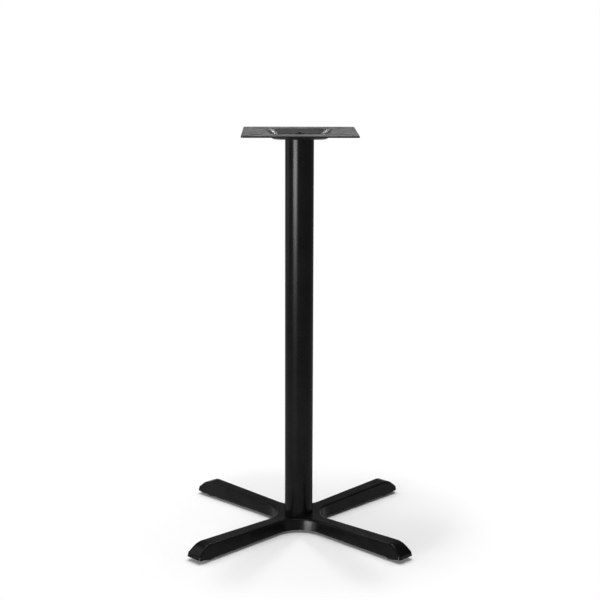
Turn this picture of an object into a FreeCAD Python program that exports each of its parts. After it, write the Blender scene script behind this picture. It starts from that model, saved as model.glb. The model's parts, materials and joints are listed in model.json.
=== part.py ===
import FreeCAD, Part
import math
import os
import re
import Sketcher

# Four star table base, in millimetres, +Z up.
# The origin is on the floor, under the column's axis. The plate's sides run along X and Y,
# and the four arms point to the plate's corners.

VECTOR = FreeCAD.Vector

# Driving sizes: name, value, what it is
SIZES = [
    ("floor_gap", 8, "floor to the lower edge of the arms"),
    ("hub_top", 37, "floor to the flat top of the hub"),
    ("tip_top", 44.5, "floor to the arms' top line, carried out to the toe"),
    ("hub_flat", 78, "axis to where the arms' tops start to rise"),
    ("rise_radius", 1500, "easing between the hub's flat and the rising arm"),
    ("arm_reach", 390, "axis to the end of an arm"),
    ("hub_half_width", 24.5, "half an arm's width at its foot, carried in to the hub"),
    ("tip_half_width", 28, "half an arm's width at its foot, at its end"),
    ("side_lean", 12, "degrees that the casting's sides lean in"),
    ("crotch_radius", 75, "fillet in plan between two arms"),
    ("end_corner_radius", 9, "corners of an arm's end, in plan"),
    ("toe_run", 31, "end of an arm to the corner of its sloped toe"),
    ("toe_radius", 45, "easing of the toe's corner"),
    ("nose_top", 18, "floor to the top of the arm's blunt end"),
    ("nose_bottom", 11, "floor to the bottom of the arm's blunt end"),
    ("undercut_run", 24, "length of the rising underside of the toe"),
    ("top_edge_radius", 5, "rounding along the top edges of the casting"),
    ("casting_wall", 6, "side walls of the casting"),
    ("casting_skin", 7, "top skin of the casting, under the hub's flat"),
    ("toe_solid", 24, "solid end of an arm"),
    ("hub_boss_dia", 64, "boss under the hub"),
    ("nut_recess_dia", 38, "recess in the hub boss for washer and nut"),
    ("seat_thickness", 11, "iron between the nut recess and the hub's flat"),
    ("spigot_height", 9, "ring on the hub that centres the column"),
    ("spigot_wall", 8, "wall of that ring"),
    ("spigot_chamfer", 1.5, "lead-in on that ring and on the top ring"),
    ("column_dia", 76, "outside of the column tube"),
    ("column_wall", 2, "wall of the column tube"),
    ("column_length", 1032, "length of the column tube"),
    ("column_clearance", 0.25, "between the tube and what centres it"),
    ("plate_side", 300, "side of the top plate"),
    ("plate_corner", 6, "corners of the top plate"),
    ("plate_thickness", 4, "sheet of the top plate"),
    ("dish_depth", 12, "depth of the dish pressed into the plate"),
    ("dish_rim", 178, "side of the dish at the plate's top"),
    ("dish_floor", 136, "side of the dish's floor"),
    ("dish_corner", 22, "corners of the dish's floor"),
    ("bend_radius", 2, "inside radius of the pressed bends"),
    ("slot_spacing_x", 224, "between slot centres along X"),
    ("slot_spacing_y", 200, "between slot centres along Y"),
    ("slot_length", 30, "slot from end to end"),
    ("slot_width", 8, "width of a slot"),
    ("hole_spacing", 268, "between the corner holes, both ways"),
    ("hole_dia", 7, "corner holes"),
    ("rod_dia", 12, "tie rod"),
    ("rod_chamfer", 1.2, "chamfer on the rod's ends"),
    ("rod_past_nut", 2, "rod beyond each nut"),
    ("rod_clearance", 0.5, "between the rod and the holes it passes"),
    ("thread_clearance", 0.05, "between a thread's plain stand-in and its bore"),
    ("washer_dia", 34, "flat washers"),
    ("washer_thickness", 2.5, "flat washers"),
    ("spring_dia", 21, "spring washer"),
    ("spring_thickness", 2.5, "spring washer"),
    ("spring_gap", 12, "degrees left open in the spring washer"),
    ("nut_flats", 18, "across the flats of both nuts"),
    ("thin_nut_height", 6, "top nut"),
    ("full_nut_height", 10, "bottom nut"),
    ("nut_chamfer", 1.2, "height of the chamfer on a nut's corners"),
    ("ring_height", 12, "top centring ring"),
    ("ring_wall", 5, "wall of the top centring ring"),
    ("glide_inset", 45, "end of an arm to its levelling glide"),
    ("glide_boss_dia", 26, "boss in the arm for a glide"),
    ("glide_boss_gap", 0.3, "between a boss and the pad under it"),
    ("stem_dia", 8, "glide stem"),
    ("stem_length", 21, "glide stem above its head"),
    ("stem_chamfer", 1, "chamfer on the stem's end"),
    ("stem_hole_spare", 3, "tapped hole beyond the stem's end"),
    ("stem_head_dia", 18, "flat head moulded into the pad"),
    ("stem_head_height", 3, "thickness of that head"),
    ("pad_dia", 38, "nylon pad"),
    ("pad_edge", 2, "rounding of the pad's edges"),
    ("cut_spare", 10, "how far a cut runs past the iron"),
]

# How close two lengths in millimetres count as the same
SAME = 0.01

# The arms in the casting's own frame, and the corners they point to once it is turned
ARMS = (("1", "0"), ("0", "1"), ("-1", "0"), ("0", "-1"))
CORNERS = {
    "front_left": ("-1", "-1"),
    "front_right": ("1", "-1"),
    "back_left": ("-1", "1"),
    "back_right": ("1", "1"),
}

doc = FreeCAD.newDocument("four_star_table_base")
sheet = doc.addObject("Spreadsheet::Sheet", "sizes")
for row, (name, size, meaning) in enumerate(SIZES, start=1):
    sheet.set(f"A{row}", name)
    sheet.set(f"B{row}", str(size))
    sheet.setAlias(f"B{row}", name)
    sheet.set(f"C{row}", meaning)
doc.recompute()

NAMES = re.compile(r"\b(" + "|".join(name for name, _, _ in SIZES) + r")\b")

# Heights that several pieces share, as sums of the sizes above
COLUMN_TOP = "(hub_top + column_length)"
DISH_FLOOR_TOP = f"({COLUMN_TOP} + plate_thickness)"
PLATE_TOP = f"({DISH_FLOOR_TOP} + dish_depth)"
PLATE_UNDER = f"({PLATE_TOP} - plate_thickness)"
SEAT = "(hub_top - seat_thickness)"
CEILING = "(hub_top - casting_skin)"
TUBE_BORE = "(column_dia - 2 * column_wall)"
CENTRING_DIA = f"({TUBE_BORE} - 2 * column_clearance)"
ROD_HOLE = "(rod_dia + 2 * rod_clearance)"
NUT_BORE = "(rod_dia + 2 * thread_clearance)"
BOTTOM_STACK = "(washer_thickness + spring_thickness + full_nut_height)"
ROD_BOTTOM = f"({SEAT} - {BOTTOM_STACK} - rod_past_nut)"
ROD_TOP = f"({DISH_FLOOR_TOP} + washer_thickness + thin_nut_height + rod_past_nut)"
GLIDE_RADIUS = "(arm_reach - glide_inset)"
PAD_TOP = "(floor_gap - glide_boss_gap)"
STEM_TOP = f"({PAD_TOP} + stem_length)"

# Width of a cut that takes in one pair of arms and the crotches beside them
CROTCH_REACH = "(hub_half_width + crotch_radius * (1 - cos(45 deg)))"
ARM_CUT_WIDTH = f"2 * {CROTCH_REACH} + casting_wall"


def bound(text):
    """The expression with each size's name led back to the sheet."""
    return NAMES.sub(r"sizes.\1", text)


def value(text):
    """The expression's present value."""
    result = sheet.evalExpression(bound(text))
    return float(getattr(result, "Value", result))


def new_body(label):
    """An empty body whose label names the sub-part."""
    body = doc.addObject("PartDesign::Body", label)
    body.Label = label
    return body


def new_sketch(body, name, role="XY_Plane", height=None):
    """A sketch on one of the body's own planes, raised by an expression."""
    sketch = body.newObject("Sketcher::SketchObject", name)
    plane = next(item for item in body.Origin.OriginFeatures if item.Role == role)
    sketch.AttachmentSupport = [(plane, "")]
    sketch.MapMode = "FlatFace"
    if height is not None:
        sketch.setExpression("AttachmentOffset.Base.z", bound(height))
    return sketch


def fix(sketch, kind, *where, size):
    """Adds a dimension that follows an expression."""
    index = sketch.addConstraint(Sketcher.Constraint(kind, *where, value(size)))
    sketch.setExpression(f"Constraints[{index}]", bound(size))


def link(sketch, kind, *where):
    """Adds a geometric constraint."""
    sketch.addConstraint(Sketcher.Constraint(kind, *where))


def place(sketch, geometry, end, x, y):
    """Holds a point of the sketch at two expressions."""
    fix(sketch, "DistanceX", -1, 1, geometry, end, size=x)
    fix(sketch, "DistanceY", -1, 1, geometry, end, size=y)


def circle(sketch, diameter, x="0", y="0"):
    """A circle given by its diameter and centre."""
    centre = VECTOR(value(x), value(y), 0)
    index = sketch.addGeometry(Part.Circle(centre, VECTOR(0, 0, 1), value(diameter) / 2))
    place(sketch, index, 3, x, y)
    fix(sketch, "Diameter", index, size=diameter)


def outline(sketch, corners):
    """A closed outline through corners given anticlockwise as (x, y) or (x, y, radius)."""
    points = [VECTOR(value(corner[0]), value(corner[1]), 0) for corner in corners]
    radii = [corner[2] if len(corner) > 2 else None for corner in corners]
    count = len(corners)
    into, out_of, centres, convex = [], [], [], []
    for i in range(count):
        back = (points[i - 1] - points[i]).normalize()
        ahead = (points[(i + 1) % count] - points[i]).normalize()
        convex.append(ahead.cross(back).z > 0)
        if radii[i] is None:
            into.append(points[i])
            out_of.append(points[i])
            centres.append(None)
            continue
        half_angle = back.getAngle(ahead) / 2
        radius = value(radii[i])
        run = radius / math.tan(half_angle)
        into.append(points[i] + back * run)
        out_of.append(points[i] + ahead * run)
        reach = (radius ** 2 + run ** 2) ** 0.5
        centres.append(points[i] + (back + ahead).normalize() * reach)
    marks = [sketch.addGeometry(Part.Point(point), True) for point in points]
    lines = [sketch.addGeometry(Part.LineSegment(out_of[i], into[(i + 1) % count])) for i in range(count)]
    for i, mark in enumerate(marks):
        place(sketch, mark, 1, corners[i][0], corners[i][1])
        before, after = lines[i - 1], lines[i]
        if radii[i] is None:
            link(sketch, "Coincident", before, 2, mark, 1)
            link(sketch, "Coincident", after, 1, mark, 1)
            continue
        middle = centres[i] + (points[i] - centres[i]).normalize() * value(radii[i])
        arc = sketch.addGeometry(Part.Arc(into[i], middle, out_of[i]))
        first, last = (1, 2) if convex[i] else (2, 1)
        link(sketch, "PointOnObject", mark, 1, before)
        link(sketch, "PointOnObject", mark, 1, after)
        link(sketch, "Tangent", before, 2, arc, first)
        link(sketch, "Tangent", after, 1, arc, last)
        fix(sketch, "Radius", arc, size=radii[i])


def slot(sketch, x, y, length, width):
    """A round-ended slot along X about a centre."""
    half = f"({length} - {width}) / 2"
    left, right = f"{x} - {half}", f"{x} + {half}"
    low, high = f"{y} - {width} / 2", f"{y} + {width} / 2"
    a, b = VECTOR(value(left), value(low), 0), VECTOR(value(right), value(low), 0)
    c, d = VECTOR(value(right), value(high), 0), VECTOR(value(left), value(high), 0)
    bulge = VECTOR(value(width) / 2, value(width) / 2, 0)
    far_right = VECTOR(b.x + bulge.x, b.y + bulge.y, 0)
    far_left = VECTOR(a.x - bulge.x, a.y + bulge.y, 0)
    lower = sketch.addGeometry(Part.LineSegment(a, b))
    upper = sketch.addGeometry(Part.LineSegment(c, d))
    right_end = sketch.addGeometry(Part.Arc(b, far_right, c))
    left_end = sketch.addGeometry(Part.Arc(d, far_left, a))
    link(sketch, "Tangent", lower, 2, right_end, 1)
    link(sketch, "Tangent", right_end, 2, upper, 1)
    link(sketch, "Tangent", upper, 2, left_end, 1)
    link(sketch, "Tangent", left_end, 2, lower, 1)
    place(sketch, lower, 1, left, low)
    place(sketch, upper, 1, right, high)


def pad(body, sketch, name, length, down=False):
    """Adds material up, or down, from a sketch."""
    feature = body.newObject("PartDesign::Pad", name)
    feature.Profile = sketch
    feature.setExpression("Length", bound(length))
    feature.Reversed = down
    return feature


def pocket(body, sketch, name, length, up=False, both_ways=False):
    """Cuts down, or up, from a sketch, or evenly to both sides of it."""
    feature = body.newObject("PartDesign::Pocket", name)
    feature.Profile = sketch
    feature.setExpression("Length", bound(length))
    feature.Reversed = up
    feature.Midplane = both_ways
    return feature


def turned(body, corners, name, angle="360"):
    """A solid of revolution about Z from an outline of (radius, height) corners."""
    sketch = new_sketch(body, f"{name}_section", "XZ_Plane")
    outline(sketch, corners)
    feature = body.newObject("PartDesign::Revolution", name)
    feature.Profile = sketch
    feature.ReferenceAxis = (sketch, ["V_Axis"])
    feature.setExpression("Angle", bound(angle))
    return feature


def edge_names(shape, wanted):
    """Names of the edges for which wanted(edge) holds."""
    return [f"Edge{i}" for i, edge in enumerate(shape.Edges, start=1) if wanted(edge)]


def rounded(body, base, name, wanted, radius):
    """Rounds the edges of a feature for which wanted(edge) holds."""
    doc.recompute()
    feature = body.newObject("PartDesign::Fillet", name)
    feature.Base = (base, edge_names(base.Shape, wanted))
    feature.setExpression("Radius", bound(radius))
    return feature


def middle_of(edge):
    """The point halfway along an edge."""
    return edge.valueAt((edge.FirstParameter + edge.LastParameter) / 2)


def steepness(face, point):
    """How far a face's normal is from upright at a point, as the size of its Z part."""
    u, v = face.Surface.parameter(point)
    return abs(face.normalAt(u, v).z)


def star_corners(reach, hub_half, tip_half, end_radius, crotch):
    """The star's outline in plan, with its arms along X and Y."""
    corners = []
    for arm in range(4):
        turn = FreeCAD.Rotation(VECTOR(0, 0, 1), 90 * arm)
        for along, across, radius in (
            (reach, f"-({tip_half})", end_radius),
            (reach, tip_half, end_radius),
            (hub_half, hub_half, crotch),
        ):
            x_part = turn.multVec(VECTOR(1, 0, 0))
            y_part = turn.multVec(VECTOR(0, 1, 0))
            x = f"{round(x_part.x)} * ({along}) + {round(y_part.x)} * ({across})"
            y = f"{round(x_part.y)} * ({along}) + {round(y_part.y)} * ({across})"
            corners.append((x, y, radius))
    return corners


def arm_side_corners():
    """The space above a pair of opposite arms, seen from the side: flat hub, rising arms, sloped toes."""
    right = [
        ("hub_flat", "hub_top", "rise_radius"),
        ("arm_reach - toe_run", "tip_top", "toe_radius"),
        ("arm_reach", "nose_top"),
        ("arm_reach + cut_spare", "nose_top"),
        ("arm_reach + cut_spare", "tip_top + cut_spare"),
    ]
    left = [(f"-({corner[0]})", *corner[1:]) for corner in reversed(right)]
    return left + right


def star_foot():
    """The casting, with its arms along X and Y until its placement turns it by 45 degrees."""
    body = new_body("star_foot")
    plan = new_sketch(body, "foot_plan", height="floor_gap")
    outline(plan, star_corners("arm_reach", "hub_half_width", "tip_half_width",
                               "end_corner_radius", "crotch_radius"))
    block = pad(body, plan, "foot_block", "tip_top - floor_gap")
    block.setExpression("TaperAngle", bound("-side_lean"))

    for role in ("XZ_Plane", "YZ_Plane"):
        side = new_sketch(body, f"arm_tops_{role[:2].lower()}", role)
        outline(side, arm_side_corners())
        tops = pocket(body, side, f"{side.Name}_cut", ARM_CUT_WIDTH, both_ways=True)

    lowest = value("nose_top") - value("top_edge_radius") / 2
    wall_limit = (1 + math.sin(math.radians(value("side_lean")))) / 2

    def on_top_edge(edge):
        faces = tops.Shape.ancestorsOfType(edge, Part.Face)
        point = middle_of(edge)
        walls = [steepness(face, point) < wall_limit for face in faces]
        return edge.BoundBox.ZMin > lowest and walls.count(True) == 1

    rounded(body, tops, "foot_top_edges", on_top_edge, "top_edge_radius")

    for role in ("XZ_Plane", "YZ_Plane"):
        under = new_sketch(body, f"toe_undersides_{role[:2].lower()}", role)
        for side_sign in ("1", "-1"):
            wedge = [
                (f"{side_sign} * (arm_reach - undercut_run)", "floor_gap"),
                (f"{side_sign} * (arm_reach + cut_spare)", "floor_gap"),
                (f"{side_sign} * (arm_reach + cut_spare)", "nose_bottom"),
                (f"{side_sign} * arm_reach", "nose_bottom"),
            ]
            outline(under, wedge if side_sign == "1" else wedge[::-1])
        pocket(body, under, f"{under.Name}_cut", ARM_CUT_WIDTH, both_ways=True)

    hollow = new_sketch(body, "foot_hollow_plan", height="floor_gap")
    outline(hollow, star_corners("arm_reach - toe_solid", "hub_half_width - casting_wall",
                                 "tip_half_width - casting_wall", "end_corner_radius",
                                 "crotch_radius + casting_wall"))
    inside = pocket(body, hollow, "foot_hollow", f"{CEILING} - floor_gap", up=True)
    inside.setExpression("TaperAngle", bound("-side_lean"))

    bosses = new_sketch(body, "boss_plan", height="floor_gap")
    circle(bosses, "hub_boss_dia")
    for x, y in ARMS:
        circle(bosses, "glide_boss_dia", f"{x} * {GLIDE_RADIUS}", f"{y} * {GLIDE_RADIUS}")
    pad(body, bosses, "bosses", f"{CEILING} - floor_gap")

    ring = new_sketch(body, "spigot_plan", height="hub_top")
    circle(ring, CENTRING_DIA)
    circle(ring, f"{CENTRING_DIA} - 2 * spigot_wall")
    spigot = pad(body, ring, "spigot", "spigot_height")
    doc.recompute()

    def on_spigot_rim(edge):
        outer = abs(edge.BoundBox.XMax - value(CENTRING_DIA) / 2) < SAME
        return outer and edge.BoundBox.ZMin > value("hub_top + spigot_height / 2")

    chamfer = body.newObject("PartDesign::Chamfer", "spigot_lead_in")
    chamfer.Base = (spigot, edge_names(spigot.Shape, on_spigot_rim))
    chamfer.setExpression("Size", bound("spigot_chamfer"))

    bore = new_sketch(body, "rod_bore_plan", height="floor_gap")
    circle(bore, ROD_HOLE)
    pocket(body, bore, "rod_bore", "hub_top - floor_gap", up=True)
    recess = new_sketch(body, "nut_recess_plan", height="floor_gap")
    circle(recess, "nut_recess_dia")
    pocket(body, recess, "nut_recess", f"{SEAT} - floor_gap", up=True)

    taps = new_sketch(body, "stem_hole_plan", height="floor_gap")
    for x, y in ARMS:
        circle(taps, "stem_dia + 2 * thread_clearance", f"{x} * {GLIDE_RADIUS}", f"{y} * {GLIDE_RADIUS}")
    pocket(body, taps, "stem_holes", f"{STEM_TOP} + stem_hole_spare - floor_gap", up=True)

    body.Placement = FreeCAD.Placement(VECTOR(0, 0, 0), FreeCAD.Rotation(VECTOR(0, 0, 1), 45))
    return body


def column_tube():
    """The round tube, standing on the hub."""
    body = new_body("column_tube")
    section = new_sketch(body, "tube_section", height="hub_top")
    circle(section, "column_dia")
    circle(section, TUBE_BORE)
    pad(body, section, "tube", "column_length")
    return body


def square_corners(side, radius):
    """A square with rounded corners about the axis."""
    half = f"({side}) / 2"
    signs = (("-", "-"), ("", "-"), ("", ""), ("-", ""))
    return [(f"{x}{half}", f"{y}{half}", radius) for x, y in signs]


def top_plate():
    """The pressed plate: a flat flange, a square dish with sloped walls, slots and holes."""
    body = new_body("top_plate")
    wall_run = "((dish_rim - dish_floor) / 2)"
    flange = new_sketch(body, "flange_plan", height=PLATE_UNDER)
    outline(flange, square_corners("plate_side", "plate_corner"))
    pad(body, flange, "flange", "plate_thickness")

    # The dish's outside stands off by this step, so the sloped wall is as thick as the sheet
    wall_angle = f"atan(dish_depth / ({wall_run}))"
    step = f"(2 * plate_thickness * tan({wall_angle} / 2))"
    under_rim = new_sketch(body, "dish_rim_under", height=PLATE_UNDER)
    outline(under_rim, square_corners(f"dish_rim + {step}", f"dish_corner + {wall_run} + {step} / 2"))
    under_floor = new_sketch(body, "dish_floor_under", height=COLUMN_TOP)
    outline(under_floor, square_corners(f"dish_floor + {step}", f"dish_corner + {step} / 2"))
    shell = body.newObject("PartDesign::AdditiveLoft", "dish_outside")
    shell.Profile = under_rim
    shell.Sections = [under_floor]
    shell.Ruled = True

    rim = new_sketch(body, "dish_rim_top", height=PLATE_TOP)
    outline(rim, square_corners("dish_rim", f"dish_corner + {wall_run}"))
    floor = new_sketch(body, "dish_floor_top", height=DISH_FLOOR_TOP)
    outline(floor, square_corners("dish_floor", "dish_corner"))
    inside = body.newObject("PartDesign::SubtractiveLoft", "dish_inside")
    inside.Profile = rim
    inside.Sections = [floor]
    inside.Ruled = True

    def loop_at(height, side):
        level, reach = value(height), value(side) / 2

        def wanted(edge):
            box = edge.BoundBox
            flat = abs(box.ZMin - level) < SAME and abs(box.ZMax - level) < SAME
            outermost = max(box.XMax, -box.XMin, box.YMax, -box.YMin)
            return flat and abs(outermost - reach) < SAME

        return wanted

    outer_bend = "bend_radius + plate_thickness"
    loop = loop_at(PLATE_TOP, "dish_rim")
    feature = rounded(body, inside, "rim_bend_top", loop, outer_bend)
    loop = loop_at(PLATE_UNDER, f"dish_rim + {step}")
    feature = rounded(body, feature, "rim_bend_under", loop, "bend_radius")
    loop = loop_at(DISH_FLOOR_TOP, "dish_floor")
    feature = rounded(body, feature, "floor_bend_top", loop, "bend_radius")
    loop = loop_at(COLUMN_TOP, f"dish_floor + {step}")
    rounded(body, feature, "floor_bend_under", loop, outer_bend)

    fixings = new_sketch(body, "fixing_plan", height=PLATE_TOP)
    for x_sign, y_sign in CORNERS.values():
        slot_x, slot_y = f"{x_sign} * slot_spacing_x / 2", f"{y_sign} * slot_spacing_y / 2"
        slot(fixings, slot_x, slot_y, "slot_length", "slot_width")
        circle(fixings, "hole_dia", f"{x_sign} * hole_spacing / 2", f"{y_sign} * hole_spacing / 2")
    pocket(body, fixings, "fixings", "plate_thickness")
    bore = new_sketch(body, "plate_bore_plan", height=DISH_FLOOR_TOP)
    circle(bore, ROD_HOLE)
    pocket(body, bore, "plate_bore", "plate_thickness")
    return body


def top_centring_ring():
    """The ring under the dish that sits inside the tube's top end, with a lead-in at its foot."""
    body = new_body("top_centring_ring")
    outer = f"{CENTRING_DIA} / 2"
    turned(body, [
        (f"{outer} - ring_wall", f"{COLUMN_TOP} - ring_height"),
        (f"{outer} - spigot_chamfer", f"{COLUMN_TOP} - ring_height"),
        (outer, f"{COLUMN_TOP} - ring_height + spigot_chamfer"),
        (outer, COLUMN_TOP),
        (f"{outer} - ring_wall", COLUMN_TOP),
    ], "ring")
    return body


def tie_rod():
    """The rod that clamps the plate and the foot to the column."""
    body = new_body("tie_rod")
    turned(body, [
        ("0", ROD_BOTTOM),
        ("rod_dia / 2 - rod_chamfer", ROD_BOTTOM),
        ("rod_dia / 2", f"{ROD_BOTTOM} + rod_chamfer"),
        ("rod_dia / 2", f"{ROD_TOP} - rod_chamfer"),
        ("rod_dia / 2 - rod_chamfer", ROD_TOP),
        ("0", ROD_TOP),
    ], "rod")
    return body


def flat_washer(label, underside):
    """A flat washer from its underside up."""
    body = new_body(label)
    section = new_sketch(body, f"{label}_section", height=underside)
    circle(section, "washer_dia")
    circle(section, ROD_HOLE)
    pad(body, section, f"{label}_disc", "washer_thickness")
    return body


def spring_washer(label, underside):
    """A split ring, pressed flat."""
    body = new_body(label)
    inner, outer = f"{ROD_HOLE} / 2", "spring_dia / 2"
    turned(body, [
        (inner, underside),
        (outer, underside),
        (outer, f"{underside} + spring_thickness"),
        (inner, f"{underside} + spring_thickness"),
    ], f"{label}_ring", "360 - spring_gap")
    return body


def hexagon_nut(label, underside, height):
    """A hexagon with its corners turned off at both ends, and a plain bore."""
    body = new_body(label)
    across_corners = "nut_flats / cos(30 deg)"
    section = new_sketch(body, f"{label}_hexagon", height=underside)
    corner_angles = [60 * k for k in range(6)]
    outline(section, [
        (f"{across_corners} / 2 * cos({angle} deg)", f"{across_corners} / 2 * sin({angle} deg)")
        for angle in corner_angles
    ])
    pad(body, section, f"{label}_block", height)
    corners = new_sketch(body, f"{label}_corner_cut", "XZ_Plane")
    spare = f"({across_corners} / 2 + nut_chamfer)"
    run = f"({across_corners} / 2 - nut_chamfer * tan(60 deg))"
    low, high = underside, f"({underside} + {height})"
    outline(corners, [(run, low), (spare, low), (spare, f"{low} + ({spare} - {run}) * tan(30 deg)")])
    outline(corners, [(run, high), (spare, f"{high} - ({spare} - {run}) * tan(30 deg)"), (spare, high)])
    turned_off = body.newObject("PartDesign::Groove", f"{label}_corners")
    turned_off.Profile = corners
    turned_off.ReferenceAxis = (corners, ["V_Axis"])
    turned_off.Angle = 360
    bore = new_sketch(body, f"{label}_bore_plan", height=underside)
    circle(bore, NUT_BORE)
    pocket(body, bore, f"{label}_bore", height, up=True)
    return body


def put_under_arm(body, x_sign, y_sign):
    """Places a piece built on the axis under one of the four arms."""
    body.setExpression("Placement.Base.x", bound(f"{x_sign} * {GLIDE_RADIUS} * cos(45 deg)"))
    body.setExpression("Placement.Base.y", bound(f"{y_sign} * {GLIDE_RADIUS} * cos(45 deg)"))


def glide_stem(corner, x_sign, y_sign):
    """The stud of a levelling glide: a flat head in the pad and a plain stem for the thread."""
    body = new_body(f"glide_stem_{corner}")
    head = "stem_head_dia / 2"
    turned(body, [
        ("0", f"{PAD_TOP} - stem_head_height"),
        (head, f"{PAD_TOP} - stem_head_height"),
        (head, PAD_TOP),
        ("stem_dia / 2", PAD_TOP),
        ("stem_dia / 2", f"{STEM_TOP} - stem_chamfer"),
        ("stem_dia / 2 - stem_chamfer", STEM_TOP),
        ("0", STEM_TOP),
    ], f"stem_{corner}")
    put_under_arm(body, x_sign, y_sign)
    return body


def glide_pad(corner, x_sign, y_sign):
    """The pad of a levelling glide, with the pocket that holds the stud's head."""
    body = new_body(f"glide_pad_{corner}")
    edge = "pad_dia / 2"
    pocket_radius = "(stem_head_dia / 2 + thread_clearance)"
    turned(body, [
        ("0", "0"),
        (edge, "0", "pad_edge"),
        (edge, PAD_TOP, "pad_edge"),
        (pocket_radius, PAD_TOP),
        (pocket_radius, f"{PAD_TOP} - stem_head_height"),
        ("0", f"{PAD_TOP} - stem_head_height"),
    ], f"pad_{corner}")
    put_under_arm(body, x_sign, y_sign)
    return body


BOTTOM_WASHER_UNDER = f"({SEAT} - washer_thickness)"
SPRING_UNDER = f"({BOTTOM_WASHER_UNDER} - spring_thickness)"
BOTTOM_NUT_UNDER = f"({SPRING_UNDER} - full_nut_height)"
TOP_NUT_UNDER = f"({DISH_FLOOR_TOP} + washer_thickness)"

pieces = [
    star_foot(),
    column_tube(),
    top_plate(),
    top_centring_ring(),
    tie_rod(),
    flat_washer("top_washer", DISH_FLOOR_TOP),
    hexagon_nut("top_nut", TOP_NUT_UNDER, "thin_nut_height"),
    flat_washer("bottom_washer", BOTTOM_WASHER_UNDER),
    spring_washer("bottom_spring_washer", SPRING_UNDER),
    hexagon_nut("bottom_nut", BOTTOM_NUT_UNDER, "full_nut_height"),
]
for corner, (x_sign, y_sign) in CORNERS.items():
    pieces.append(glide_stem(corner, x_sign, y_sign))
    pieces.append(glide_pad(corner, x_sign, y_sign))

doc.recompute()

for item in doc.Objects:
    if "Invalid" in item.State or "Error" in item.State:
        raise RuntimeError(f"{item.Label} failed: {item.State}")
for piece in pieces:
    if piece.Shape.isNull() or not piece.Shape.isValid() or len(piece.Shape.Solids) != 1:
        raise RuntimeError(f"{piece.Label} is not one valid solid")

os.makedirs("parts", exist_ok=True)
for piece in pieces:
    piece.Shape.exportStep(f"parts/{piece.Label}.step")
    print(piece.Label, round(piece.Shape.Volume), piece.Shape.BoundBox)
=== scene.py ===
import json
import math

import bpy
import numpy as np
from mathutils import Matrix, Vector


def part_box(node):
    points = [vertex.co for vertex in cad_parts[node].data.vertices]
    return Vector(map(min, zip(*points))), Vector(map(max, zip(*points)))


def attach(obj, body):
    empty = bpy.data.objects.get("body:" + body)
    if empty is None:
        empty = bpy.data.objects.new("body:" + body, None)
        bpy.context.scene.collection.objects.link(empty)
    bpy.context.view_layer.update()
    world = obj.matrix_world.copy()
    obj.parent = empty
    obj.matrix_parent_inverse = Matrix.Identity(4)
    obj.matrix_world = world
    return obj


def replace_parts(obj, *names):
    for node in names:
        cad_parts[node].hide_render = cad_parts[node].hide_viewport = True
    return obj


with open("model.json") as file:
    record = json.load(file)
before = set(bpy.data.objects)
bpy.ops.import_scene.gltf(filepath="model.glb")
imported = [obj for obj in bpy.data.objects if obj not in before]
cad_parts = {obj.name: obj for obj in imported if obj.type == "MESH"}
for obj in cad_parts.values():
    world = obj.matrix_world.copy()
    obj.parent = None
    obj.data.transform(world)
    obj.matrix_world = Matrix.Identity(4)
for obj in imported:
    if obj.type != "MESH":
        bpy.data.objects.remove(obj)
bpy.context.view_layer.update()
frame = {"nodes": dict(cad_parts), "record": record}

# Looks of a four star table base, in metres: black powder coat on the casting, the column
# and the plate, black oxide on what clamps them together, zinc and nylon on the levelling glides.

MM = 0.001
FULL_TURN = 2 * math.pi
CORNERS = ("front_left", "front_right", "back_left", "back_right")


# Threaded pieces

ROUND_STEPS = 48
ROWS_PER_TURN = 12
THREAD_DEPTH = 0.61     # share of the pitch, from crest to root
CREST_FLAT = 0.125      # share of half a pitch that is flat at the crest
ROOT_FLAT = 0.25        # share of half a pitch that is flat at the root
THREAD_RUNOUT = 1.5     # turns over which a thread fades at each end


def thread_cut(height, angle, pitch):
    """Depth of a thread's cut: a triangle wave with flattened tips.

    The helix climbs one pitch a turn, so the wave's phase is height / pitch less angle / full turn.
    """
    phase = height / pitch - angle / FULL_TURN
    wave = 2 * np.abs(phase - np.round(phase))
    flank = np.clip((wave - CREST_FLAT) / (1 - CREST_FLAT - ROOT_FLAT), 0, 1)
    return THREAD_DEPTH * pitch * flank


def thread_strength(height, low, high, pitch):
    """Share of the full depth at a height.

    It is 1 along the thread, and falls evenly to 0 over the run-out at its ends.
    """
    return np.clip(np.minimum(height - low, high - height) / (THREAD_RUNOUT * pitch), 0, 1)


def turned_mesh(name, radius, height, centre):
    """A closed turned surface on a grid of rows and steps.

    A point lies at its row's radius and height, turned by its step's share of a full turn.
    The first and the last row are single points on the axis, and rows go upwards, so the
    faces point outwards.
    """
    rows, steps = radius.shape
    angle = np.linspace(0, FULL_TURN, steps, endpoint=False)
    x = centre[0] + radius * np.cos(angle)
    y = centre[1] + radius * np.sin(angle)
    rings = np.stack([x, y, height], axis=-1)[1:-1].reshape(-1, 3)
    bottom = [[centre[0], centre[1], height[0, 0]]]
    top = [[centre[0], centre[1], height[-1, 0]]]
    points = np.concatenate([bottom, rings, top])

    ring, step = np.meshgrid(np.arange(rows - 3), np.arange(steps), indexing="ij")
    onward = (step + 1) % steps
    lower, upper = 1 + ring * steps, 1 + (ring + 1) * steps
    quads = np.stack([lower + step, lower + onward, upper + onward, upper + step], axis=-1)
    first = np.arange(steps)
    second = (first + 1) % steps
    last_ring = 1 + (rows - 3) * steps
    foot_fan = np.stack([np.zeros_like(first), 1 + second, 1 + first], axis=-1)
    crown = np.full_like(first, len(points) - 1)
    crown_fan = np.stack([crown, last_ring + first, last_ring + second], axis=-1)

    faces = quads.reshape(-1, 4).tolist() + foot_fan.tolist() + crown_fan.tolist()
    return mesh_piece(name, points, faces, smooth=True)


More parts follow.
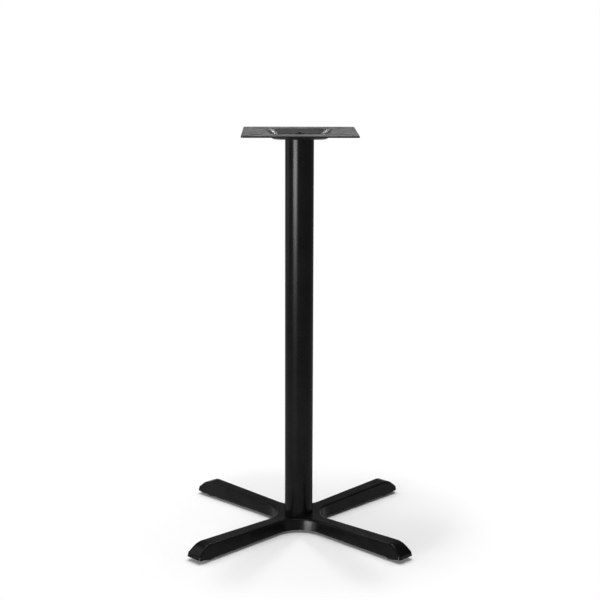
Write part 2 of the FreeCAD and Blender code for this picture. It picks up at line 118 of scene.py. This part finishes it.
def mesh_piece(name, points, faces, smooth):
    """An object at the origin with its place in its mesh."""
    mesh = bpy.data.meshes.new(name)
    mesh.from_pydata(points.tolist(), [], faces)
    mesh.polygons.foreach_set("use_smooth", np.full(len(mesh.polygons), smooth))
    mesh.update()
    piece = bpy.data.objects.new(name, mesh)
    bpy.context.scene.collection.objects.link(piece)
    return piece


def threaded_mesh(name, sections, threads, pitch, centre):
    """A turned piece from sections of (radius, height) rows, with threads between pairs of heights.

    The radius is the section's, less the thread's cut times its strength at that height.
    """
    rows = np.concatenate([np.array(section) for section in sections])
    radius, height = rows[:, :1], rows[:, 1:]
    angle = np.linspace(0, FULL_TURN, ROUND_STEPS, endpoint=False)[None, :]
    strength = sum(thread_strength(height, low, high, pitch) for low, high in threads)
    cut = thread_cut(height, angle, pitch) * strength
    return turned_mesh(name, radius - cut, height + 0 * angle, centre)


def shank_rows(radius, low, high, pitch):
    """Evenly spaced rows of one radius, close enough to show a thread."""
    count = int((high - low) / pitch * ROWS_PER_TURN) + 2
    heights = np.linspace(low, high, count)
    return np.stack([np.full(count, radius), heights], axis=-1)


STEM_RADIUS = 4 * MM
STEM_PITCH = 1.25 * MM
STEM_CHAMFER = 1 * MM
HEAD_BEVEL = 0.4 * MM


def glide_stem(corner):
    """The stud of a levelling glide, its thread running from the head to the chamfered end."""
    low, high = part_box(f"glide_stem_{corner}")
    head_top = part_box(f"glide_pad_{corner}")[1].z
    head_radius = (high.x - low.x) / 2
    centre = ((low.x + high.x) / 2, (low.y + high.y) / 2)
    head = [
        (0, low.z),
        (head_radius - HEAD_BEVEL, low.z),
        (head_radius, low.z + HEAD_BEVEL),
        (head_radius, head_top - HEAD_BEVEL),
        (head_radius - HEAD_BEVEL, head_top),
    ]
    shank = shank_rows(STEM_RADIUS, head_top, high.z - STEM_CHAMFER, STEM_PITCH)
    end = [(STEM_RADIUS - STEM_CHAMFER, high.z), (0, high.z)]
    thread = (head_top, high.z)
    return threaded_mesh(f"stem_thread_{corner}", [head, shank, end], [thread], STEM_PITCH, centre)


ROD_PITCH = 1.75 * MM
ROD_CHAMFER = 1.2 * MM
ROD_THREAD = 48 * MM


def tie_rod():
    """The rod through the column, threaded at both ends for its nuts."""
    low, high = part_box("tie_rod")
    radius = (high.x - low.x) / 2
    bottom_thread = (low.z, low.z + ROD_THREAD)
    top_thread = (high.z - ROD_THREAD, high.z)
    sections = [
        [(0, low.z), (radius - ROD_CHAMFER, low.z)],
        shank_rows(radius, low.z + ROD_CHAMFER, bottom_thread[1], ROD_PITCH),
        shank_rows(radius, top_thread[0], high.z - ROD_CHAMFER, ROD_PITCH),
        [(radius - ROD_CHAMFER, high.z), (0, high.z)],
    ]
    return threaded_mesh("rod_threads", sections, [bottom_thread, top_thread], ROD_PITCH, (0, 0))


# Finishes

def add(tree, kind, inputs=None, **settings):
    """A shader node with its settings and unlinked inputs filled in."""
    node = tree.nodes.new(kind)
    for name, setting in settings.items():
        setattr(node, name, setting)
    for name, value in (inputs or {}).items():
        node.inputs[name].default_value = value
    return node


def new_finish(name):
    """An empty material with its surface shader and the piece's own coordinates."""
    material = bpy.data.materials.new(name)
    material.use_nodes = True
    tree = material.node_tree
    tree.nodes.clear()
    output = add(tree, "ShaderNodeOutputMaterial")
    shader = add(tree, "ShaderNodeBsdfPrincipled")
    tree.links.new(shader.outputs["BSDF"], output.inputs["Surface"])
    place = add(tree, "ShaderNodeTexCoord").outputs["Object"]
    return material, tree, shader, place


def speckle(tree, place, size, detail=3.0, roughness=0.5):
    """Noise whose largest features are about the given size in metres."""
    inputs = {"Scale": 1 / size, "Detail": detail, "Roughness": roughness}
    noise = add(tree, "ShaderNodeTexNoise", inputs)
    tree.links.new(place, noise.inputs["Vector"])
    return noise.outputs["Fac"]


def spread(tree, source, low, high, start=0.3, end=0.7):
    """Carries a 0 to 1 pattern over to a range, eased at both ends."""
    inputs = {"From Min": start, "From Max": end, "To Min": low, "To Max": high}
    node = add(tree, "ShaderNodeMapRange", inputs, interpolation_type="SMOOTHSTEP")
    tree.links.new(source, node.inputs["Value"])
    return node.outputs["Result"]


def worked(tree, operation, *sources):
    """A sum on patterns or numbers."""
    node = add(tree, "ShaderNodeMath", operation=operation)
    for socket, source in zip(node.inputs, sources):
        if isinstance(source, (int, float)):
            socket.default_value = source
        else:
            tree.links.new(source, socket)
    return node.outputs["Value"]


def blended(tree, factor, low, high):
    """A colour between two, each of them a grey or a pattern, by a 0 to 1 pattern."""
    mix = add(tree, "ShaderNodeMix", data_type="RGBA")
    tree.links.new(factor, mix.inputs["Factor"])
    for socket, colour in ((mix.inputs["A"], low), (mix.inputs["B"], high)):
        if isinstance(colour, (int, float)):
            socket.default_value = (colour, colour, colour, 1)
        else:
            tree.links.new(colour, socket)
    return mix.outputs["Result"]


def relief(tree, source, depth, under=None):
    """Bumps of a depth in metres, laid over the relief under them."""
    bump = add(tree, "ShaderNodeBump", {"Strength": 1, "Distance": depth})
    tree.links.new(source, bump.inputs["Height"])
    if under is not None:
        tree.links.new(under, bump.inputs["Normal"])
    return bump.outputs["Normal"]


def worn_and_highlighted_edges(tree, place):
    """1 along sharp edges, where the rounded normal leaves the true one, broken up by noise. It marks
    edges worn by rubbing, and also a painted highlight along them.
    """
    bevel = add(tree, "ShaderNodeBevel", {"Radius": EDGE_REACH}, samples=EDGE_SAMPLES)
    rounded = bevel.outputs["Normal"]
    true = add(tree, "ShaderNodeNewGeometry").outputs["Normal"]
    likeness = add(tree, "ShaderNodeVectorMath", operation="DOT_PRODUCT")
    tree.links.new(rounded, likeness.inputs[0])
    tree.links.new(true, likeness.inputs[1])
    edge = spread(tree, likeness.outputs["Value"], 1, 0, start=0.8, end=0.99)
    edge_breakup = spread(tree, speckle(tree, place, 18 * MM, detail=6), 0.15, 1)
    return worked(tree, "MULTIPLY", edge, edge_breakup)


def settled_dust(tree, place):
    """Specks on what faces up, thicker in some patches than in others."""
    axes = add(tree, "ShaderNodeSeparateXYZ")
    tree.links.new(add(tree, "ShaderNodeTexCoord").outputs["Normal"], axes.inputs["Vector"])
    upward = spread(tree, axes.outputs["Z"], 0, 1, start=0.8, end=0.98)
    specks = spread(tree, speckle(tree, place, 1.1 * MM, detail=2), 0, 1, start=0.56, end=0.72)
    patches = spread(tree, speckle(tree, place, 45 * MM, detail=4), 0.1, 1)
    return worked(tree, "MULTIPLY", worked(tree, "MULTIPLY", upward, specks), patches)


def cast_sand(tree, place):
    """The grain that a sand mould leaves on iron, over the slow unevenness of its skin."""
    skin = relief(tree, speckle(tree, place, 40 * MM, detail=2), 0.25 * MM)
    grain = speckle(tree, place, 9 * MM, detail=5, roughness=0.6)
    return relief(tree, grain, 0.07 * MM, under=skin)


def tube_seam(tree, place):
    """The dressed weld that runs the length of a rolled tube, at its back."""
    axes = add(tree, "ShaderNodeSeparateXYZ")
    tree.links.new(place, axes.inputs["Vector"])
    ridge = spread(tree, worked(tree, "ABSOLUTE", axes.outputs["X"]), 1, 0, start=0, end=1.6 * MM)
    at_back = worked(tree, "GREATER_THAN", axes.outputs["Y"], 0)
    ripple = spread(tree, speckle(tree, place, 12 * MM, detail=4), 0.5, 1)
    seam = worked(tree, "MULTIPLY", worked(tree, "MULTIPLY", ridge, at_back), ripple)
    return relief(tree, seam, 0.1 * MM)


def press_waves(tree, place):
    """The slow waves of a pressed sheet, and the faint marks of sheets stacked on it."""
    waves = relief(tree, speckle(tree, place, 80 * MM, detail=1), 0.8 * MM)
    marks = speckle(tree, place, 5 * MM, detail=6, roughness=0.7)
    return relief(tree, marks, 0.02 * MM, under=waves)


def powder_coat(name, dark, light, gloss, peel_depth, ground=None, skin=None):
    """Black powder coat on the relief of its ground.

    It has faint clouds of shade, uneven gloss, orange peel, settled dust, and edges worn
    paler and smoother; their paleness is partly a painted highlight. A skin is the weight and
    roughness of a thin clear layer that mirrors in place of the coat, and stays darker than it where it
    is seen edge-on.
    """
    material, tree, shader, place = new_finish(name)
    edge_wear_and_highlight = worn_and_highlighted_edges(tree, place)
    clouds = spread(tree, speckle(tree, place, 60 * MM), 0, 1)
    coat = blended(tree, clouds, dark, light)
    dusty = blended(tree, settled_dust(tree, place), coat, DUST)
    # edges paler where worn by rubbing, and partly as a painted highlight
    tree.links.new(blended(tree, edge_wear_and_highlight, dusty, WORN_AND_HIGHLIGHT_GREY), shader.inputs["Base Color"])
    sheen = spread(tree, speckle(tree, place, 25 * MM, detail=5), *gloss)
    tree.links.new(worked(tree, "MULTIPLY_ADD", edge_wear_and_highlight, EDGE_POLISH, sheen), shader.inputs["Roughness"])
    shader.inputs["Specular IOR Level"].default_value = COAT_SPECULAR
    surface = ground(tree, place) if ground else None
    peel = relief(tree, speckle(tree, place, 1.8 * MM, detail=1), peel_depth, under=surface)
    tree.links.new(peel, shader.inputs["Normal"])
    if skin:
        weight, roughness = skin
        shader.inputs["Specular IOR Level"].default_value = 0
        shader.inputs["Coat Weight"].default_value = weight
        shader.inputs["Coat Roughness"].default_value = roughness
        tree.links.new(peel, shader.inputs["Coat Normal"])
    return material


def zinc_plate(name, dull, bright, gloss):
    """Plated steel: bright and dull patches and fine scratches."""
    material, tree, shader, place = new_finish(name)
    patches = spread(tree, speckle(tree, place, 6 * MM, detail=4), 0, 1)
    tree.links.new(blended(tree, patches, dull, bright), shader.inputs["Base Color"])
    tree.links.new(spread(tree, speckle(tree, place, 3 * MM), *gloss), shader.inputs["Roughness"])
    shader.inputs["Metallic"].default_value = 1
    tree.links.new(relief(tree, speckle(tree, place, 0.5 * MM), 0.02 * MM), shader.inputs["Normal"])
    return material


def moulded_nylon(name, dark, light, gloss):
    """Black nylon with a fine moulded grain."""
    material, tree, shader, place = new_finish(name)
    clouds = spread(tree, speckle(tree, place, 8 * MM), 0, 1)
    tree.links.new(blended(tree, clouds, dark, light), shader.inputs["Base Color"])
    tree.links.new(spread(tree, speckle(tree, place, 4 * MM), *gloss), shader.inputs["Roughness"])
    tree.links.new(relief(tree, speckle(tree, place, 0.6 * MM), 0.05 * MM), shader.inputs["Normal"])
    return material


def finish_node(node, material):
    """Gives a CAD node its finish in each of its slots."""
    for slot in frame["nodes"][node].material_slots:
        slot.material = material


COAT_SPECULAR = 0.1         # a black coat mirrors little
COLUMN_SKIN = (0.2, 0.225)  # weight and roughness of the column's clear layer
DUST = 0.03                 # grey of settled dust
WORN_AND_HIGHLIGHT_GREY = 0.035              # grey of worn edges, which also paints a highlight along them
EDGE_REACH = 1.2 * MM       # how far from an edge its rubbing and painted highlight show
EDGE_SAMPLES = 6
EDGE_POLISH = -0.06         # change in roughness where an edge is rubbed

finishes = {
    "foot_coat": powder_coat(
        "cast_black_coat", 0.002, 0.005, (0.17, 0.25), 0.045 * MM, ground=cast_sand),
    "column_coat": powder_coat(
        "tube_black_coat", 0.002, 0.004, (0.2, 0.25), 0.015 * MM, ground=tube_seam, skin=COLUMN_SKIN),
    "plate_coat": powder_coat(
        "plate_black_coat", 0.005, 0.009, (0.26, 0.34), 0.03 * MM, ground=press_waves),
    "black_oxide": powder_coat("black_oxide", 0.006, 0.012, (0.36, 0.5), 0.01 * MM),
    "bare_steel": zinc_plate("plain_steel", 0.3, 0.45, (0.35, 0.5)),
    "zinc": zinc_plate("zinc_plate", 0.55, 0.75, (0.25, 0.4)),
    "nylon": moulded_nylon("black_nylon", 0.008, 0.014, (0.45, 0.6)),
}

for part in frame["record"]["subparts"]:
    finish_node(part["node"], finishes[part["material_slot"]])

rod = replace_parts(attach(tie_rod(), "base"), "tie_rod")
rod.data.materials.append(finishes["black_oxide"])
for corner in CORNERS:
    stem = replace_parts(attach(glide_stem(corner), f"glide_{corner}"), f"glide_stem_{corner}")
    stem.data.materials.append(finishes["zinc"])


# Floor, light and camera

FLOOR_REACH = 60.0          # half the side of the floor
FLOOR_POINTS = 9            # along each side of its grid
PAPER_SHADE = 0.94
PAPER_ROUGHNESS = 0.9
PAPER_SPECULAR = 0.1
PALE = 0.62                 # brightness of the surroundings, where white is 1
SHADOW_CORE = 0.37          # distance from the axis where the base's shadow starts to fade
SHADOW_EDGE = 0.56          # distance from the axis where it has faded out
SWEEP_HALF_WIDTH = 0.83     # of the white sweep beside the base
SWEEP_WIDENING = 0.225      # growth of that half width for each metre behind the base
SWEEP_FRONT = -0.56         # front end of the sweep
SWEEP_FADE = 1.4            # length over which its front end fades
SWEEP_BLUR = 2.8            # width with its faded sides, in widths of the white part
AIR = 0.12                  # brightness of the world above the horizon
HORIZON_TURN = (0.2, 0.6)   # Y of a direction, where the horizon starts to whiten and where it is white
HORIZON_TOP = (0.06, 0.26)  # Z of a direction, where the horizon starts to fade and where the air is all


def seen_directly(tree):
    """1 for rays that show the background itself.

    These come straight from the camera, from a mirroring surface, or through glass.
    """
    path = add(tree, "ShaderNodeLightPath").outputs
    mirrored = worked(tree, "MAXIMUM", path["Is Camera Ray"], path["Is Glossy Ray"])
    return worked(tree, "MAXIMUM", mirrored, path["Is Transmission Ray"])


def glowing(tree, brightness):
    """A surface that shows a brightness of its own."""
    glow = add(tree, "ShaderNodeEmission", {"Color": (1, 1, 1, 1)})
    tree.links.new(brightness, glow.inputs["Strength"])
    return glow.outputs["Emission"]


def white_paper(name):
    """White paper, lit by the lamps near the base.

    Beside and behind the base it is a plain white sweep, and further out it is pale.
    """
    material, tree, shader, place = new_finish(name)
    shader.inputs["Base Color"].default_value = (PAPER_SHADE, PAPER_SHADE, PAPER_SHADE, 1)
    shader.inputs["Roughness"].default_value = PAPER_ROUGHNESS
    shader.inputs["Specular IOR Level"].default_value = PAPER_SPECULAR
    axes = add(tree, "ShaderNodeSeparateXYZ")
    tree.links.new(place, axes.inputs["Vector"])
    x, y = axes.outputs["X"], axes.outputs["Y"]
    from_axis = add(tree, "ShaderNodeVectorMath", operation="LENGTH")
    tree.links.new(place, from_axis.inputs[0])
    distance = from_axis.outputs["Value"]
    beyond_shadow = spread(tree, distance, 0, 1, start=SHADOW_CORE, end=SHADOW_EDGE)
    half_width = worked(tree, "MULTIPLY_ADD", y, SWEEP_WIDENING, SWEEP_HALF_WIDTH)
    share = worked(tree, "DIVIDE", worked(tree, "ABSOLUTE", x), half_width)
    beside = spread(tree, share, 1, 0, start=1.0, end=SWEEP_BLUR)
    ahead = spread(tree, y, 0, 1, start=SWEEP_FRONT - SWEEP_FADE, end=SWEEP_FRONT)
    sweep = worked(tree, "MULTIPLY", beside, ahead)
    brightness = worked(tree, "MULTIPLY_ADD", sweep, 1 - PALE, PALE)
    mix = add(tree, "ShaderNodeMixShader")
    tree.links.new(worked(tree, "MULTIPLY", beyond_shadow, seen_directly(tree)), mix.inputs["Fac"])
    tree.links.new(shader.outputs["BSDF"], mix.inputs[1])
    tree.links.new(glowing(tree, brightness), mix.inputs[2])
    tree.links.new(mix.outputs["Shader"], tree.get_output_node("ALL").inputs["Surface"])
    return material


def grid_faces(rows, columns):
    """Quads between the points of a grid, listed row by row."""
    row, column = np.meshgrid(np.arange(rows - 1), np.arange(columns - 1), indexing="ij")
    start = row * columns + column
    quads = np.stack([start, start + 1, start + columns + 1, start + columns], axis=-1)
    return quads.reshape(-1, 4).tolist()


def floor():
    """A square sheet on the floor: x and y run evenly over the grid, z is zero."""
    side = np.linspace(-FLOOR_REACH, FLOOR_REACH, FLOOR_POINTS)
    x, y = np.meshgrid(side, side)
    points = np.stack([x, y, 0 * x], axis=-1).reshape(-1, 3)
    sheet = mesh_piece("floor", points, grid_faces(len(side), len(side)), smooth=False)
    sheet.data.materials.append(white_paper("white_floor"))


def studio_air():
    """The world: along the horizon as bright as the floor, white behind the base, and dim above."""
    world = bpy.data.worlds.new("studio")
    bpy.context.scene.world = world
    world.use_nodes = True
    tree = world.node_tree
    tree.nodes.clear()
    output = add(tree, "ShaderNodeOutputWorld")
    axes = add(tree, "ShaderNodeSeparateXYZ")
    tree.links.new(add(tree, "ShaderNodeTexCoord").outputs["Generated"], axes.inputs["Vector"])
    sideways = worked(tree, "ABSOLUTE", axes.outputs["X"])
    beside = spread(tree, sideways, 1, 0, start=SWEEP_WIDENING, end=SWEEP_BLUR * SWEEP_WIDENING)
    behind = worked(tree, "MULTIPLY", beside, spread(tree, axes.outputs["Y"], 0, 1, *HORIZON_TURN))
    horizon = worked(tree, "MULTIPLY_ADD", behind, 1 - PALE, PALE)
    height = spread(tree, axes.outputs["Z"], 0, 1, *HORIZON_TOP)
    air = add(tree, "ShaderNodeBackground")
    tree.links.new(blended(tree, height, horizon, AIR), air.inputs["Color"])
    tree.links.new(air.outputs["Background"], output.inputs["Surface"])


def softbox(name, place, aim, width, height, radiance):
    """A soft lamp facing a point; its power is pi times its area times the brightness of its face."""
    lamp = bpy.data.lights.new(name, "AREA")
    lamp.shape = "RECTANGLE"
    lamp.size = width
    lamp.size_y = height
    lamp.energy = math.pi * width * height * radiance
    stand = bpy.data.objects.new(name, lamp)
    bpy.context.scene.collection.objects.link(stand)
    facing = np.array(aim) - np.array(place)
    flat = math.hypot(facing[0], facing[1])
    stand.location = place
    rise = math.atan2(facing[2], flat)
    turn = math.atan2(-facing[0], facing[1])
    stand.rotation_euler = (math.pi / 2 + rise, 0, turn)


# The camera, fitted to the photo's 600 by 600 frame
FRAME_PIXELS = 600
FOCAL_PIXELS = 1400.6
SENSOR = 36.0
CAMERA_PLACE = (-0.0504, -3.6773, 1.3948)
CAMERA_TILT = 0.2039    # radians below level
CAMERA_ROLL = -0.0025   # radians about +Y, which lifts the frame's right side
CAMERA_YAW = -0.0138    # radians, anticlockwise from +Y


def camera():
    """The photo's viewpoint."""
    lens = bpy.data.cameras.new("camera")
    lens.sensor_width = SENSOR
    lens.lens = SENSOR * FOCAL_PIXELS / FRAME_PIXELS
    lens.clip_end = 3 * FLOOR_REACH
    eye = bpy.data.objects.new("camera", lens)
    eye.location = CAMERA_PLACE
    eye.rotation_euler = (math.pi / 2 - CAMERA_TILT, CAMERA_ROLL, CAMERA_YAW)
    bpy.context.scene.collection.objects.link(eye)
    bpy.context.scene.camera = eye


floor()
studio_air()
softbox("overhead", place=(0, 0, 2.6), aim=(0, 0.001, 0), width=2.0, height=2.0, radiance=3.7)
softbox("key", place=(-2.6, -3.76, 0.54), aim=(0, 0, 0.5), width=2.3, height=0.66, radiance=45)
softbox("fill", place=(-2.6, 0.75, 1.4), aim=(0, 0, 0.6), width=1.5, height=2.6, radiance=1.25)
softbox("side_left", place=(-0.7, 1.6, 2.55), aim=(0, 0, 1.08), width=0.28, height=0.28, radiance=58)
softbox("side_right", place=(0.7, 1.6, 2.55), aim=(0, 0, 1.08), width=0.28, height=0.28, radiance=58)
camera()
bpy.context.scene.view_settings.view_transform = "Standard"
